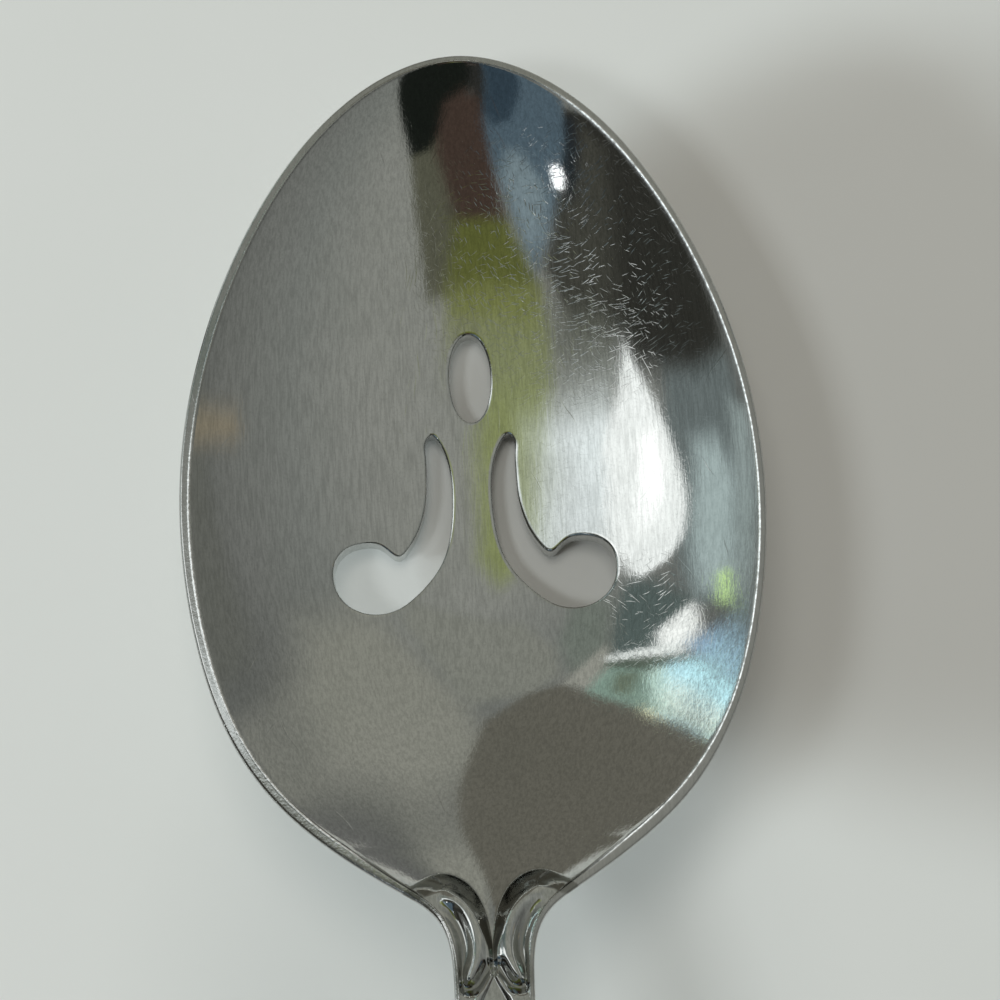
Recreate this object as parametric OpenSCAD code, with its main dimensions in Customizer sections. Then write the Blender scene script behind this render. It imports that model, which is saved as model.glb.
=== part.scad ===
// Pierced serving spoon, one stamped piece of stainless steel.
// Frame: X across, Y along the spoon with the tip of the bowl towards +Y, Z up.
// The spoon lies bowl up on the plane z = 0. The origin is below the middle of its length.
// One forging, drawn as its four regions, which meet face to face: bowl, neck, stem, handle.

/* [Overall] */
// Length from the tip of the bowl to the end of the handle
overall_l = 213; // [195:1:230]
// Top of the handle's arch above the table
crest_h = 24; // [20:0.5:27]
// Depth ground off where the bowl and the handle rest
wear = 0.08; // [0.05:0.01:0.12]

/* [Bowl] */
// Width of the bowl over its rim
bowl_w = 48.9; // [45:0.1:52]
// Length from the tip to the crotch of the two scrolls
bowl_l = 80; // [75:0.5:84]
// Depth of the dish below the rim at its deepest
dish_depth = 9.6; // [8:0.1:11]
// Thickness of the steel in the floor of the bowl
floor_t = 1.5; // [1.2:0.1:2]
// Width of the flat cut edge of the rim
rim_w = 0.8; // [0.6:0.05:1]
// Rounding of the outer corner of the rim
rim_round = 0.25; // [0.15:0.05:0.3]

/* [Piercing] */
// Width of the oval
oval_w = 3.6; // [3:0.1:4]
// Length of the oval
oval_l = 8; // [7:0.1:9]
// Distance from the tip to the middle of the oval
oval_s = 27.9; // [27:0.1:28.5]
// Distance from the tip to the top of the two J-shaped slots
slot_s = 32.8; // [32.7:0.1:34]
// Length of a slot along the spoon
slot_l = 16.4; // [15:0.1:17]
// Reach of a slot from the middle of the spoon to the far side of its round end
slot_reach = 12; // [11:0.1:13]

/* [Neck] */
// Width of the neck at its narrowest
neck_w = 6.1; // [5.4:0.1:7]
// Thickness of the neck
neck_t = 3.2; // [2.8:0.1:3.6]
// Width of the thin raised edge along the neck, the stem and the handle
edge_w = 0.35; // [0.3:0.01:0.4]
// Height of the ridge of each scroll over the edge of the neck
scroll_h = 0.3; // [0.15:0.05:0.45]
// Depth of the hollow beside each scroll
hollow_depth = 0.42; // [0.2:0.02:0.5]
// Half the width of the ridge of a scroll
ridge_half_w = 0.75; // [0.6:0.05:0.85]
// Half the width of the hollow beside it
hollow_half_w = 0.55; // [0.4:0.05:0.6]

/* [Handle] */
// Greatest width of the handle, near its end
handle_w = 21; // [18:0.5:24]
// Thickness of the handle at its end
handle_t = 1.9; // [1.6:0.1:2.4]
// Distance of the thread groove from the edge
thread_in = 0.7; // [0.66:0.02:0.76]
// Half the width of the thread groove
thread_half_w = 0.24; // [0.2:0.02:0.26]
// Depth of the thread groove
thread_depth = 0.2; // [0.1:0.02:0.3]
// Distance of the sunk panel from the edge
panel_in = 1.2; // [1.1:0.05:1.4]
// Depth of the sunk panel
panel_depth = 0.35; // [0.2:0.05:0.5]

/* [Fineness] */
// Strips across the bowl
bowl_strips = 28; // [20:2:30]
// Strips across the neck
neck_strips = 36; // [32:2:44]
// Strips across the stem and the handle
tail_strips = 26; // [20:2:28]
// Stations to one step of the outline in the bowl
bowl_steps = 3; // [2:1:3]
// Stations to one step of the outline in the neck
neck_steps = 6; // [4:1:7]
// Stations to one step of the outline in the stem
stem_steps = 2; // [2:1:4]
// Stations to one step of the outline in the handle
handle_steps = 3; // [2:1:4]

/* [Hidden] */
steel = [0.62, 0.63, 0.62];
half_bowl = bowl_w / 2;
half_neck = neck_w / 2;
half_handle = handle_w / 2;
rim_h = dish_depth + floor_t;
tail_l = overall_l - bowl_l;
tip_y = overall_l / 2;
through_h = 3 * rim_h;

// Outline of the bowl: distance from the tip as a share of bowl_l, half width as a share of half_bowl.
bowl_shares = [
  [0, 0], [0.0175, 0.229], [0.0675, 0.458], [0.141, 0.652], [0.2375, 0.818], [0.344, 0.934],
  [0.456, 0.995], [0.575, 0.992], [0.681, 0.935], [0.775, 0.828], [0.8525, 0.653], [0.9075, 0.448]
];
// The shoulders, where the bowl's outline sweeps into the neck: the same two shares.
shoulder_shares = [[0.943, 0.278], [0.971, 0.168]];
// The neck: distance as a share of bowl_l, half width as a share of half_neck.
neck_shares = [[1, 1.07], [1.03, 1.01], [1.06, 1], [1.12, 1]];
// The stem and the handle: distance behind the crotch as a share of tail_l, half width as a share of half_handle.
stem_shares = [[0.16, 0.291], [0.26, 0.305], [0.38, 0.36]];
handle_shares = [
  [0.53, 0.485], [0.68, 0.69], [0.8, 0.89], [0.892, 0.997], [0.938, 0.93], [0.97, 0.72], [0.991, 0.41], [1, 0]
];

outline = concat(
  [for (p = bowl_shares) [p[0] * bowl_l, p[1] * half_bowl]],
  [for (p = shoulder_shares) [p[0] * bowl_l, p[1] * half_bowl]],
  [for (p = neck_shares) [p[0] * bowl_l, p[1] * half_neck]],
  [for (p = stem_shares) [bowl_l + p[0] * tail_l, p[1] * half_handle]],
  [for (p = handle_shares) [bowl_l + p[0] * tail_l, p[1] * half_handle]]
);
last = len(outline) - 1;
// Steps of the outline at which the regions meet, and those at the widest of the bowl and of the handle.
bowl_end = len(bowl_shares) - 1;
neck_end = bowl_end + len(shoulder_shares) + len(neck_shares);
stem_end = neck_end + len(stem_shares);
bowl_widest = 6.5;
handle_widest = last - 3.8;
first_step = 0.05;

// Height of the rim: distance as a share of bowl_l, height as a share of rim_h.
rim_shares = [
  [0, 0.8], [0.125, 0.807], [0.25, 0.838], [0.375, 0.893], [0.5, 0.957], [0.625, 1.045], [0.75, 1.155]
];
// From the heel to the crest: distance as a share of tail_l, height as a share of the rise from rim_h to crest_h.
rise_shares = [[-0.075, 0.25], [0, 0.46], [0.08, 0.665], [0.19, 0.9], [0.3, 1]];
// From the crest to the end: height as a share of the fall from crest_h to handle_t.
fall_shares = [[0.45, 0.92], [0.6, 0.69], [0.75, 0.375], [0.87, 0.125], [0.93, 0.015], [0.965, 0], [1, 0.03]];
rim_table = concat(
  [for (p = rim_shares) [p[0] * bowl_l, p[1] * rim_h]],
  [for (p = rise_shares) [bowl_l + p[0] * tail_l, rim_h + p[1] * (crest_h - rim_h)]],
  [for (p = fall_shares) [bowl_l + p[0] * tail_l, handle_t - wear + p[1] * (crest_h - handle_t)]]
);

// Depth of the dish on the middle line: distance as a share of bowl_l, depth as a share of dish_depth.
dish_shares = [
  [0.04, 0.165], [0.075, 0.318], [0.125, 0.479], [0.2, 0.651], [0.3, 0.786], [0.4, 0.885], [0.5, 0.948],
  [0.575, 1], [0.65, 1.02], [0.7, 0.974], [0.75, 0.865], [0.8, 0.708], [0.85, 0.536], [0.9, 0.349],
  [0.95, 0.198], [1, 0.094], [1.05, 0.04], [1.15, 0]
];
dish_table = concat([[rim_w, 0]], [for (p = dish_shares) [p[0] * bowl_l, p[1] * dish_depth]], [[overall_l, 0]]);

// Depth of the underside below the rim: to the heel as a share of rim_h, then of neck_t and of handle_t.
under_shares = [
  [0, 0.015], [0.01, 0.068], [0.0375, 0.225], [0.075, 0.369], [0.125, 0.523], [0.2, 0.685], [0.3, 0.803],
  [0.4, 0.886], [0.5, 0.95], [0.575, 1.007], [0.65, 1.023], [0.7, 0.991], [0.75, 0.901], [0.8, 0.775],
  [0.85, 0.64], [0.9, 0.491]
];
root_shares = [[0.95, 1.3], [1, 1.1], [1.06, 1], [1.2, 0.95]];
tail_shares = [[0.35, 1.35], [0.6, 1.1], [0.8, 1], [1, 1]];
under_table = concat(
  [for (p = under_shares) [p[0] * bowl_l, p[1] * rim_h + wear]],
  [for (p = root_shares) [p[0] * bowl_l, p[1] * neck_t]],
  [for (p = tail_shares) [bowl_l + p[0] * tail_l, p[1] * handle_t]]
);

// How boxy the underside is across: 0 is a bowl's plain curve, 1 a flat bottom with round edges.
box_shares = [[0, 0.35], [0.7, 0.35], [0.85, 0.45], [0.96, 0.85], [1.05, 1], [2, 1]];
box_table = concat([for (p = box_shares) [p[0] * bowl_l, p[1]]], [[overall_l * 2, 1]]);
dish_blend = 0.25;
box_power_low = 4;
box_power_gain = 2;

// Width of the flat border of the top, from the bowl's rim to the thin edge of the neck.
border_table = [[0.8 * bowl_l, rim_w], [0.9 * bowl_l, rim_w], [0.98 * bowl_l, edge_w], [overall_l, edge_w]];

// A smooth curve through the rows [place, value] of a table.
function row_at(t, s, i = 0) = (i >= len(t) - 2 || s < t[i + 1][0]) ? i : row_at(t, s, i + 1);
function lean(t, i) =
  let (a = max(i - 1, 0), b = min(i + 1, len(t) - 1)) (t[b][1] - t[a][1]) / (t[b][0] - t[a][0]);
function bend(a, b, da, db, k) =
  a * (2 * k * k * k - 3 * k * k + 1) + da * (k * k * k - 2 * k * k + k)
  + b * (3 * k * k - 2 * k * k * k) + db * (k * k * k - k * k);
function value(t, s) =
  let (i = row_at(t, s), h = t[i + 1][0] - t[i][0], k = max(0, min(1, (s - t[i][0]) / h)))
  bend(t[i][1], t[i + 1][1], lean(t, i) * h, lean(t, i + 1) * h, k);

// The outline as one smooth curve. Beyond either tip it is its own mirror image.
function knot(i) =
  i < 0 ? [outline[-i][0], -outline[-i][1]] :
  i > last ? [outline[2 * last - i][0], -outline[2 * last - i][1]] :
  outline[i];
function pace(i) = (knot(i + 1) - knot(i - 1)) / 2;
function edge_at(q) =
  let (i = min(last - 1, floor(q)))
  bend(knot(i), knot(i + 1), pace(i), pace(i + 1), q - i);
// Unit direction of the outline at step q.
nudge = 0.01;
function edge_run(q) =
  let (d = edge_at(min(last, q + nudge)) - edge_at(max(0, q - nudge)))
  d / norm(d);
// The point e inside the outline: square to it at the two rounded ends, straight across between them.
function inset(q, e) =
  let (o = edge_at(q), r = edge_run(q))
  q > bowl_widest && q < handle_widest ? [o[0], o[1] - e / r[0]] : [o[0] + e * r[1], o[1] - e * r[0]];

// Smooth step from 0 to 1, and a smooth bump of height 1 with its foot at 1.
function ease(k) = let (c = max(0, min(1, k))) c * c * (3 - 2 * c);
function bump(k) = 1 - ease(abs(k));

// Distance from p to a line through points, and the same with a minus sign on its open side.
function to_step(p, a, b) =
  let (d = b - a, k = max(0, min(1, ((p - a) * d) / (d * d)))) p - a - k * d;
function gaps(p, line) = [for (i = [0 : len(line) - 2]) norm(to_step(p, line[i], line[i + 1]))];
function gap(p, line) = min(gaps(p, line));
function side(p, line) =
  let (g = gaps(p, line), m = min(g), i = [for (k = [0 : len(g) - 1]) if (g[k] <= m) k][0],
       d = line[i + 1] - line[i], v = p - line[i])
  m * (d[0] * v[1] - d[1] * v[0] < 0 ? 1 : -1);

// Lines of the neck's relief: distance from the middle and distance from the tip, as shares of bowl_l.
// Foot of the slope by which a scroll rises from the floor of the bowl.
ramp_shares = [
  [0.075, 0.934], [0.056, 0.9225], [0.045, 0.92], [0.034, 0.9225], [0.022, 0.93], [0.013, 0.942],
  [0.007, 0.9575], [0.003, 0.974], [0, 0.993], [0, 1.012]
];
// Crest of the scroll, from the shoulder to its rounded end.
ridge_shares = [
  [0.0525, 0.947], [0.036, 0.951], [0.0256, 0.96], [0.018, 0.9725], [0.0144, 0.986], [0.0138, 1],
  [0.0156, 1.011], [0.0194, 1.021], [0.0225, 1.029]
];
// Hollow between the scroll and the edge of the neck, which runs round the scroll's end to the middle.
hollow_shares = [
  [0.046, 0.958], [0.034, 0.974], [0.027, 0.991], [0.0265, 1.0075], [0.031, 1.021], [0.034, 1.031],
  [0.031, 1.04], [0.021, 1.041], [0.0135, 1.033], [0.0065, 1.022], [0.001, 1.012]
];
// Width of the slope, from wide at the shoulder to steep at the crotch.
ramp_w_shares = [[0.9, 0.025], [0.95, 0.014], [0.975, 0.007], [0.995, 0.004], [2, 0.004]];
ramp = ramp_shares * bowl_l;
ridge = ridge_shares * bowl_l;
hollow = hollow_shares * bowl_l;
ramp_w = ramp_w_shares * bowl_l;
ramp_from_share = 0.9;
ramp_to_share = 1.015;
scroll_from_share = 0.93;
scroll_to_share = 1.07;
// The lancet arch in which the sunk panel begins.
arch_start_share = 1.024;
arch_run_share = 0.085;
thread_start_share = 1.05;
thread_run_share = 0.03;
foot_spread = 1.25;
arch_start = arch_start_share * bowl_l;
arch_run = arch_run_share * bowl_l;

// How far the two scrolls have risen out of the floor of the bowl, 0 to 1.
function risen(x, s) =
  s < ramp_from_share * bowl_l ? 0 :
  s > ramp_to_share * bowl_l ? 1 :
  ease(side([abs(x), s], ramp) / value(ramp_w, s));
// Height of the scrolls and depth of their hollows.
function scrolls(x, s) =
  s < scroll_from_share * bowl_l || s > scroll_to_share * bowl_l ? 0 :
  let (p = [abs(x), s])
  scroll_h * bump(gap(p, ridge) / (ridge_half_w * foot_spread))
  - hollow_depth * bump(gap(p, hollow) / (hollow_half_w * foot_spread));
// Depth of the thread groove and of the panel. e is the distance from the edge, w the half width of the spoon there.
function threads(x, s, e, w) =
  s < arch_start ? 0 :
  let (
    k = min(1, (s - arch_start) / arch_run),
    arch = (w - panel_in) * (1 - (1 - k) * (1 - k)) - abs(x),
    deep = k < 1 ? min(e - panel_in, arch) : e - panel_in
  )
  - thread_depth * bump((e - thread_in) / thread_half_w) * ease((s / bowl_l - thread_start_share) / thread_run_share)
  - panel_depth * ease(deep / thread_half_w);

// Height of the top at x and s. h is x as a share of the top's half width, e the distance from the edge, w as above.
edge_power = 24;
foot_power = 8;
function top_z(x, s, h, e, w) =
  let (
    rim = value(rim_table, s),
    plain = rim - value(dish_table, s) * (1 - (1 - dish_blend) * h * h - dish_blend * pow(h, 4)),
    up = risen(x, s) * (1 - pow(h, foot_power))
  )
  plain + (rim - plain) * up + (scrolls(x, s) + threads(x, s, e, w)) * (1 - pow(h, edge_power));

// Columns beside the edge of the neck's end, the stem and the handle, as distances from the outline.
marks = [
  edge_w, thread_in - thread_half_w, thread_in, thread_in + thread_half_w, panel_in, panel_in + thread_half_w
];
inmost = len(marks) - 1;
// How far column k from the edge, of half the columns, lies inside the outline: evenly spread, or along the marks.
function even_point(q, k, half) =
  let (o = edge_at(q), a = inset(q, value(border_table, o[0])))
  [a[0], a[1] * (1 - k / half)];
function marked_point(q, k, half) =
  let (a = inset(q, marks[min(k, inmost)]))
  [a[0], a[1] * (1 - max(0, k - inmost) / (half - inmost))];
// The top row of a station with n strips. The columns turn from even to marked where the threads begin.
function top_row(q, n) =
  let (o = edge_at(q), m = ease((o[0] / bowl_l - thread_start_share) / thread_run_share), half = n / 2)
  [for (j = [0 : n])
    let (
      k = min(j, n - j), a = even_point(q, k, half), p = a + (marked_point(q, k, half) - a) * m,
      deep = m == 1 && k < inmost ? marks[k] : o[1] - p[1], x = j < n - j ? -p[1] : p[1]
    )
    [x, tip_y - p[0], top_z(x, p[0], 1 - k / half, deep, o[1])]];

// One closed ring of points round the spoon at step q, n strips across: the top, a bevel, the underside, a bevel.
function ring(q, n) =
  let (
    o = edge_at(q), rim = value(rim_table, o[0]), low = value(under_table, o[0]) - rim_round,
    mid = inset(q, rim_round), b = value(box_table, o[0]), power = box_power_low + box_power_gain * b
  )
  concat(
    top_row(q, n),
    [[mid[1], tip_y - mid[0], value(rim_table, mid[0])]],
    [for (j = [0 : n])
      let (h = 1 - 2 * j / n, c = (1 - b) * h * h + b * pow(abs(h), power))
      [h * o[1], tip_y - o[0], max(0, rim - rim_round - low * (1 - c))]],
    [[-mid[1], tip_y - mid[0], value(rim_table, mid[0])]]
  );

// Triangles between ring i and the next one, n strips across. Their long sides run towards the middle before
// the crotch of the scrolls and away from it behind, as the lines of the relief do.
function band(i, n, closing) =
  let (m = 2 * n + 4)
  [for (j = [0 : m - 1])
    let (
      a = i * m + j, b = i * m + (j + 1) % m, c = a + m, d = b + m,
      left = j < n / 2 || (j > n + n / 2 + 1 && j < m)
    )
    each (left == closing ? [[a, b, d], [a, d, c]] : [[a, b, c], [b, d, c]])];
// A flat face across ring i, from its top row to its underside.
function lid(i, n, turn) =
  let (m = 2 * n + 4, z = i * m, under = z + m - 2)
  concat(
    [for (j = [0 : n - 1])
      let (a = z + j, b = z + j + 1, c = under - j - 1, d = under - j)
      each (turn ? [[a, c, b], [a, d, c]] : [[a, b, c], [a, c, d]])],
    turn
      ? [[z + n, z + n + 2, z + n + 1], [z, z + m - 1, under]]
      : [[z + n, z + n + 1, z + n + 2], [z, under, z + m - 1]]
  );
// The end of a rounded tip: rungs from each point of ring i to its mirror image. The top's columns from the one
// numbered start to its mirror image lie on one line and are closed by a fan, as the underside is.
function tip_lid(i, n, turn, start) =
  let (
    m = 2 * n + 4, z = i * m, under = z + n + 2, right = under - 1, left = z + m - 1,
    rungs = concat([for (k = [1 : start]) [z + start - k, z + n - start + k]], [[left, right]]),
    faces = concat(
      [for (j = [start : n - start]) [z + start - 1, z + j, z + j + 1]],
      [for (k = [0 : len(rungs) - 2])
        let (a = rungs[k], b = rungs[k + 1])
        each [[a[0], a[1], b[1]], [a[0], b[1], b[0]]]],
      [for (j = [0 : n - 1]) [right, under + j, under + j + 1]],
      [[right, under + n, left]]
    )
  )
  turn ? [for (f = faces) [f[0], f[2], f[1]]] : faces;
module loft(places, n, tip_first = false, tip_last = false) {
  end = len(places) - 1;
  polyhedron(
    points = [for (q = places) each ring(q, n)],
    faces = concat(
      [for (i = [0 : end - 1]) each band(i, n, edge_at(places[i])[0] < arch_start)],
      tip_first ? tip_lid(0, n, true, n / 2) : lid(0, n, true),
      tip_last ? tip_lid(end, n, false, inmost) : lid(end, n, false)
    ),
    convexity = 6
  );
}
function places(a, b, n) = [for (i = [0 : (b - a) * n]) a + i / n];

// A J-shaped slot: distance from the middle as a share of slot_reach, distance from its top as a share of slot_l.
slot_shares = [
  [0.279, 0.002], [0.229, 0.037], [0.179, 0.122], [0.15, 0.232], [0.144, 0.354], [0.154, 0.476], [0.183, 0.604],
  [0.242, 0.72], [0.325, 0.811], [0.433, 0.896], [0.567, 0.97], [0.717, 0.998], [0.85, 0.979], [0.958, 0.909],
  [1, 0.799], [0.979, 0.707], [0.892, 0.634], [0.783, 0.607], [0.6625, 0.618], [0.542, 0.676], [0.4625, 0.622],
  [0.4, 0.543], [0.354, 0.445], [0.329, 0.341], [0.322, 0.232], [0.323, 0.11], [0.315, 0.03]
];
slot_cuts = 2;
function slot_knot(i) =
  let (p = slot_shares[(i + len(slot_shares)) % len(slot_shares)])
  [p[0] * slot_reach, -p[1] * slot_l];
function slot_pace(i) = (slot_knot(i + 1) - slot_knot(i - 1)) / 2;
function slot_at(q) =
  let (i = floor(q))
  bend(slot_knot(i), slot_knot(i + 1), slot_pace(i), slot_pace(i + 1), q - i);

module slot() {
  translate([0, tip_y - slot_s, -rim_h])
    linear_extrude(height = through_h)
      polygon([for (k = [0 : slot_cuts * len(slot_shares) - 1]) slot_at(k / slot_cuts)]);
}

module oval() {
  translate([0, tip_y - oval_s, -rim_h])
    linear_extrude(height = through_h)
      scale([1, oval_l / oval_w])
        circle(d = oval_w, $fn = 48);
}

// The dished bowl with its flat rim and its three piercings.
module bowl() {
  color(steel)
    difference() {
      loft(
        concat([first_step, 4 * first_step], [for (q = places(0, bowl_end, bowl_steps)) if (q > 5 * first_step) q]),
        bowl_strips, tip_first = true
      );
      oval();
      slot();
      mirror([1, 0, 0])
        slot();
    }
}

// The root of the handle with the coined pair of scrolls and the lancet arch.
module neck() {
  color(steel)
    loft(places(bowl_end, neck_end, neck_steps), neck_strips);
}

// The narrow stem with its thread borders and sunk panel.
module stem() {
  color(steel)
    loft(places(neck_end, stem_end, stem_steps), tail_strips);
}

// The widening end of the handle with its rounded tip.
module handle() {
  color(steel)
    loft(
      concat(
        [for (q = places(stem_end, last, handle_steps)) if (q < last - 5 * first_step) q],
        [last - 4 * first_step, last - first_step]
      ),
      tail_strips, tip_last = true
    );
}

bowl();
neck();
stem();
handle();
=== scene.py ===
import math

import bmesh
import bpy
import numpy as np
from mathutils import Matrix, Vector
from mathutils.geometry import delaunay_2d_cdt


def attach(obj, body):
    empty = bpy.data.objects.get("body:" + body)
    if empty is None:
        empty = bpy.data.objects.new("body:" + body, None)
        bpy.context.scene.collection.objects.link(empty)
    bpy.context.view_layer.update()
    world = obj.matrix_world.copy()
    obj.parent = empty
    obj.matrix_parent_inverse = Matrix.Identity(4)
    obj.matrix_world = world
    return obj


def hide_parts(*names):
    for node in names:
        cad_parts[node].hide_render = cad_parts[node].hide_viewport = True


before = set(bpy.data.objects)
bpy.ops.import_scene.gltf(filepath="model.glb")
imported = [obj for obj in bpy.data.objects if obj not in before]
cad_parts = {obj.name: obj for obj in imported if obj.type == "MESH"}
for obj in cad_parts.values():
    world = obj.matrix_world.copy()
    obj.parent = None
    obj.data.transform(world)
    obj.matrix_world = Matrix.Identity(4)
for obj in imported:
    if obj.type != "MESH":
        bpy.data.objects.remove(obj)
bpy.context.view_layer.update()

scene = bpy.context.scene
MM = 0.001

# ---------------------------------------------------------------- the spoon's lines
# In mm: x across, s along the spoon from the tip of the bowl, z up.
OVERALL_L, CREST_H, WEAR = 213.0, 24.0, 0.08
BOWL_W, BOWL_L, DISH_DEPTH, FLOOR_T = 48.9, 80.0, 9.6, 1.5
RIM_W, RIM_ROUND, EDGE_W = 0.8, 0.25, 0.35
NECK_W, NECK_T, HANDLE_W, HANDLE_T = 6.1, 3.2, 21.0, 1.9
RIM_H, TAIL_L, TIP_Y = DISH_DEPTH + FLOOR_T, OVERALL_L - BOWL_L, OVERALL_L / 2
OVAL_W, OVAL_L, OVAL_S = 3.6, 8.0, 27.9
SLOT_REACH, SLOT_L, SLOT_S = 12.0, 16.4, 32.8


def rows(table, fx, fy, x0=0.0, y0=0.0):
    """A table in shares of two sizes, as rows in mm."""
    return [(x0 + a * fx, y0 + b * fy) for a, b in table]


OUTLINE = (
    rows([(0, 0), (0.0175, 0.229), (0.0675, 0.458), (0.141, 0.652), (0.2375, 0.818), (0.344, 0.934), (0.456, 0.995),
          (0.575, 0.992), (0.681, 0.935), (0.775, 0.828), (0.8525, 0.653), (0.9075, 0.448), (0.943, 0.278),
          (0.971, 0.168)], BOWL_L, BOWL_W / 2)
    + rows([(1, 1.07), (1.03, 1.01), (1.06, 1), (1.12, 1)], BOWL_L, NECK_W / 2)
    + rows([(0.16, 0.291), (0.26, 0.305), (0.38, 0.36), (0.53, 0.485), (0.68, 0.69), (0.8, 0.89), (0.892, 0.997),
            (0.938, 0.93), (0.97, 0.72), (0.991, 0.41), (1, 0)], TAIL_L, HANDLE_W / 2, BOWL_L))
RIM = (
    rows([(0, 0.8), (0.125, 0.807), (0.25, 0.838), (0.375, 0.893), (0.5, 0.957), (0.625, 1.045), (0.75, 1.155)],
         BOWL_L, RIM_H)
    + rows([(-0.075, 0.25), (0, 0.46), (0.08, 0.665), (0.19, 0.9), (0.3, 1)], TAIL_L, CREST_H - RIM_H, BOWL_L, RIM_H)
    + rows([(0.45, 0.92), (0.6, 0.69), (0.75, 0.375), (0.87, 0.125), (0.93, 0.015), (0.965, 0), (1, 0.03)],
           TAIL_L, CREST_H - HANDLE_T, BOWL_L, HANDLE_T - WEAR))
DISH = ([(RIM_W, 0)] + rows([(0.04, 0.165), (0.075, 0.318), (0.125, 0.479), (0.2, 0.651), (0.3, 0.786), (0.4, 0.885),
        (0.5, 0.948), (0.575, 1), (0.65, 1.0), (0.7, 0.935), (0.75, 0.81), (0.8, 0.64), (0.85, 0.445), (0.9, 0.27),
        (0.95, 0.15), (1, 0.075), (1.05, 0.03), (1.15, 0), (1.3, 0)], BOWL_L, DISH_DEPTH) + [(OVERALL_L, 0)])
UNDER = (
    rows([(0, 0.015), (0.01, 0.068), (0.0375, 0.225), (0.075, 0.369), (0.125, 0.523), (0.2, 0.685), (0.3, 0.803),
          (0.4, 0.886), (0.5, 0.95), (0.575, 1.007), (0.65, 1.023), (0.7, 0.991), (0.75, 0.901), (0.8, 0.775),
          (0.85, 0.64), (0.9, 0.491)], BOWL_L, RIM_H, 0, WEAR)
    + rows([(0.95, 1.3), (1, 1.1), (1.06, 1), (1.2, 0.95)], BOWL_L, NECK_T)
    + rows([(0.35, 1.35), (0.6, 1.1), (0.8, 1), (1, 1)], TAIL_L, HANDLE_T, BOWL_L))
BOXY = rows([(0, 0.35), (0.7, 0.35), (0.85, 0.45), (0.96, 0.85), (1.05, 1), (2, 1)], BOWL_L, 1) + [(OVERALL_L, 1)]
BORDER = (rows([(0, 0.8), (0.06, 0.86), (0.3, 1), (0.8, 1), (0.9, 1)], BOWL_L, RIM_W)
          + [(0.98 * BOWL_L, EDGE_W), (OVERALL_L, EDGE_W)])


# ---------------------------------------------------------------- curves
def bell(step, soften, reach):
    """A Gaussian kernel over reach steps to each side."""
    k = np.exp(-0.5 * (np.arange(-reach, reach + 1) * step / soften) ** 2)
    return k / k.sum()


class Spline:
    """Natural cubic spline through the rows of a table; beyond its ends it stays level."""

    def __init__(self, table, soften=0.0, step=0.5):
        x, y = np.array(table, float).T
        self.fit(x, y)
        if soften:  # blurred; beyond its ends it is turned about them, so that they stay in place
            xs = np.arange(x[0] - 6 * soften, x[-1] + 6 * soften, step)
            lead, trail = self(x[0] + (x[0] - xs)), self(x[-1] - (xs - x[-1]))
            ys = np.where(xs < x[0], 2 * y[0] - lead, np.where(xs > x[-1], 2 * y[-1] - trail, self(xs)))
            ys = np.convolve(ys, bell(step, soften, int(4 * soften / step)), "same")
            keep = (xs > x[0] - step) & (xs < x[-1] + step)
            self.fit(xs[keep], ys[keep])

    def fit(self, x, y):
        n, h = len(x), np.diff(x)
        a, b = np.eye(n), np.zeros(n)
        i = np.arange(1, n - 1)
        a[i, i - 1], a[i, i], a[i, i + 1] = h[:-1], 2 * (h[:-1] + h[1:]), h[1:]
        b[i] = 6 * (np.diff(y)[1:] / h[1:] - np.diff(y)[:-1] / h[:-1])
        self.x, self.y, self.h, self.m = x, y, h, np.linalg.solve(a, b)

    def __call__(self, v):
        v = np.clip(np.asarray(v, float), self.x[0], self.x[-1])
        i = np.clip(np.searchsorted(self.x, v, side="right") - 1, 0, len(self.x) - 2)
        h, b = self.h[i], (v - self.x[i]) / self.h[i]
        a = 1 - b
        bend = ((a ** 3 - a) * self.m[i] + (b ** 3 - b) * self.m[i + 1]) * h * h / 6
        return a * self.y[i] + b * self.y[i + 1] + bend


def linear(table):
    x, y = np.array(table, float).T
    return lambda v: np.interp(v, x, y)


def ease(k):
    """0 up to 0, 1 from 1 on, and a soft S between."""
    k = np.clip(k, 0, 1)
    return k * k * (3 - 2 * k)


def hump(k):
    """1 at 0, falling softly to 0 at 1."""
    return 0.5 + 0.5 * np.cos(np.pi * np.clip(k, 0, 1))


def run_of(points):
    """Length of a line up to each of its points."""
    return np.concatenate([[0], np.cumsum(np.hypot(*np.diff(points, axis=0).T))])


def through(points, run, places):
    """A smooth curve through the points, which lie at the lengths in run, read at the places."""
    return np.c_[Spline(np.c_[run, points[:, 0]])(places), Spline(np.c_[run, points[:, 1]])(places)]


def read_at(places, run, points):
    return np.c_[np.interp(places, run, points[:, 0]), np.interp(places, run, points[:, 1])]


def blurred(points, kernel):
    return np.c_[np.convolve(points[:, 0], kernel, "same"), np.convolve(points[:, 1], kernel, "same")]


rim_at, dish_at, under_at = Spline(RIM, 3.0), Spline(DISH, 1.6), Spline(UNDER, 1.2)
boxy_at, border_at = linear(BOXY), linear(BORDER)

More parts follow.
